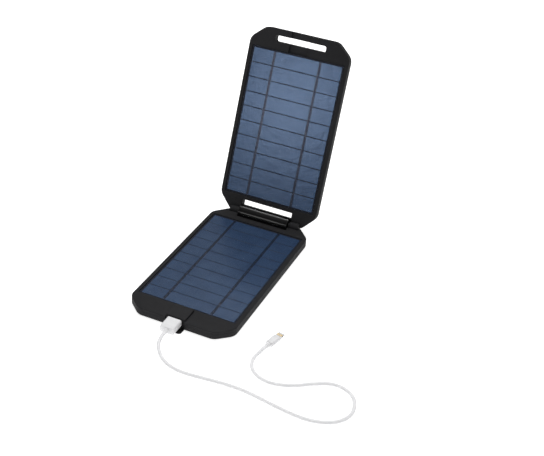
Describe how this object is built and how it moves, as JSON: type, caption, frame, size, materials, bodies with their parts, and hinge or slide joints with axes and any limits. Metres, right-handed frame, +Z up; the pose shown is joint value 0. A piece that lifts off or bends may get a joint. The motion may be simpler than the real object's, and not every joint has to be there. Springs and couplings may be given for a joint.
{
  "type": "solar phone charger",
  "caption": "Clamshell solar charger with two hinged panels, opened upright, and a white charging lead plugged into its front edge.",
  "frame": {"origin": "centre of the underside of the base half", "axes": "+X across the panels to the right, +Y from the socket edge towards the hinge, +Z up"},
  "size_m": [0.239, 0.3237, 0.1889],
  "materials": {
    "case_plastic": "fine matte moulded texture",
    "hinge_plastic": "polished moulded",
    "seal_rubber": "matte",
    "cover_rubber": "satin",
    "panel_backing": "satin, near-black blue",
    "solar_cell": "satin blue silicon with fine printed lines under film",
    "cell_ribbon": "darkened solder-coated ribbon",
    "cover_film": "clear satin film",
    "steel": "zinc plated",
    "magnet": "nickel plated",
    "wire_sheath": "satin",
    "socket_metal": "bright plated",
    "tongue_plastic": "moulded",
    "contact_gold": "gold plated",
    "circuit_board": "solder mask",
    "coil_ferrite": "matte",
    "chip_plastic": "matte",
    "can_metal": "satin",
    "lead_plastic": "satin white moulded",
    "lead_jacket": "smooth white"
  },
  "bodies": {
    "base": {"base_shell": "case_plastic", "base_bezel": "case_plastic", "base_seal": "seal_rubber", "base_panel_board": "panel_backing", "base_cells": "solar_cell", "base_ribbons": "cell_ribbon", "base_cover_film": "cover_film", "base_screws": "steel", "base_magnets": "magnet", "base_wire": "wire_sheath", "hinge_barrel": "hinge_plastic", "hinge_pin_left": "steel", "hinge_pin_right": "steel", "hinge_washers": "steel", "usb_socket_shell": "socket_metal", "usb_socket_tongue": "tongue_plastic", "usb_socket_contacts": "contact_gold", "regulator_card": "circuit_board", "card_coil": "coil_ferrite", "card_chip": "chip_plastic", "card_capacitors": "can_metal"},
    "lid": {"lid_shell": "case_plastic", "lid_bezel": "case_plastic", "lid_seal": "seal_rubber", "lid_panel_board": "panel_backing", "lid_cells": "solar_cell", "lid_ribbons": "cell_ribbon", "lid_cover_film": "cover_film", "lid_screws": "steel", "lid_magnets": "magnet", "lid_wire": "wire_sheath", "lid_hinge_arm_left": "case_plastic", "lid_hinge_arm_right": "case_plastic", "tap_board": "circuit_board", "bypass_diode": "chip_plastic"},
    "dust_cover": {"dust_cover": "cover_rubber"},
    "lead": {"usb_plug_shell": "socket_metal", "usb_plug_insert": "lead_plastic", "usb_plug_contacts": "contact_gold", "usb_plug_grip": "lead_plastic", "usb_strain_relief": "lead_jacket", "lead_cord": "lead_jacket", "phone_strain_relief": "lead_jacket", "phone_plug_grip": "lead_plastic", "phone_plug_blade": "socket_metal", "phone_plug_contacts": "contact_gold"}
  },
  "joints": [
    {"name": "lid_hinge", "type": "hinge", "parent": "base", "child": "lid", "pos_m": [0, 0.096, 0.009], "axis": [-1, 0, 0], "range_deg": [-110.3, 69.7]},
    {"name": "dust_cover_hinge", "type": "hinge", "parent": "base", "child": "dust_cover", "pos_m": [0, -0.09525, 0.0007], "axis": [-1, 0, 0], "range_deg": [0, 5]},
    {"name": "lead_unplug", "type": "slide", "parent": "base", "child": "lead", "axis": [0, -1, 0], "range_m": [0, 0.02]}
  ]
}
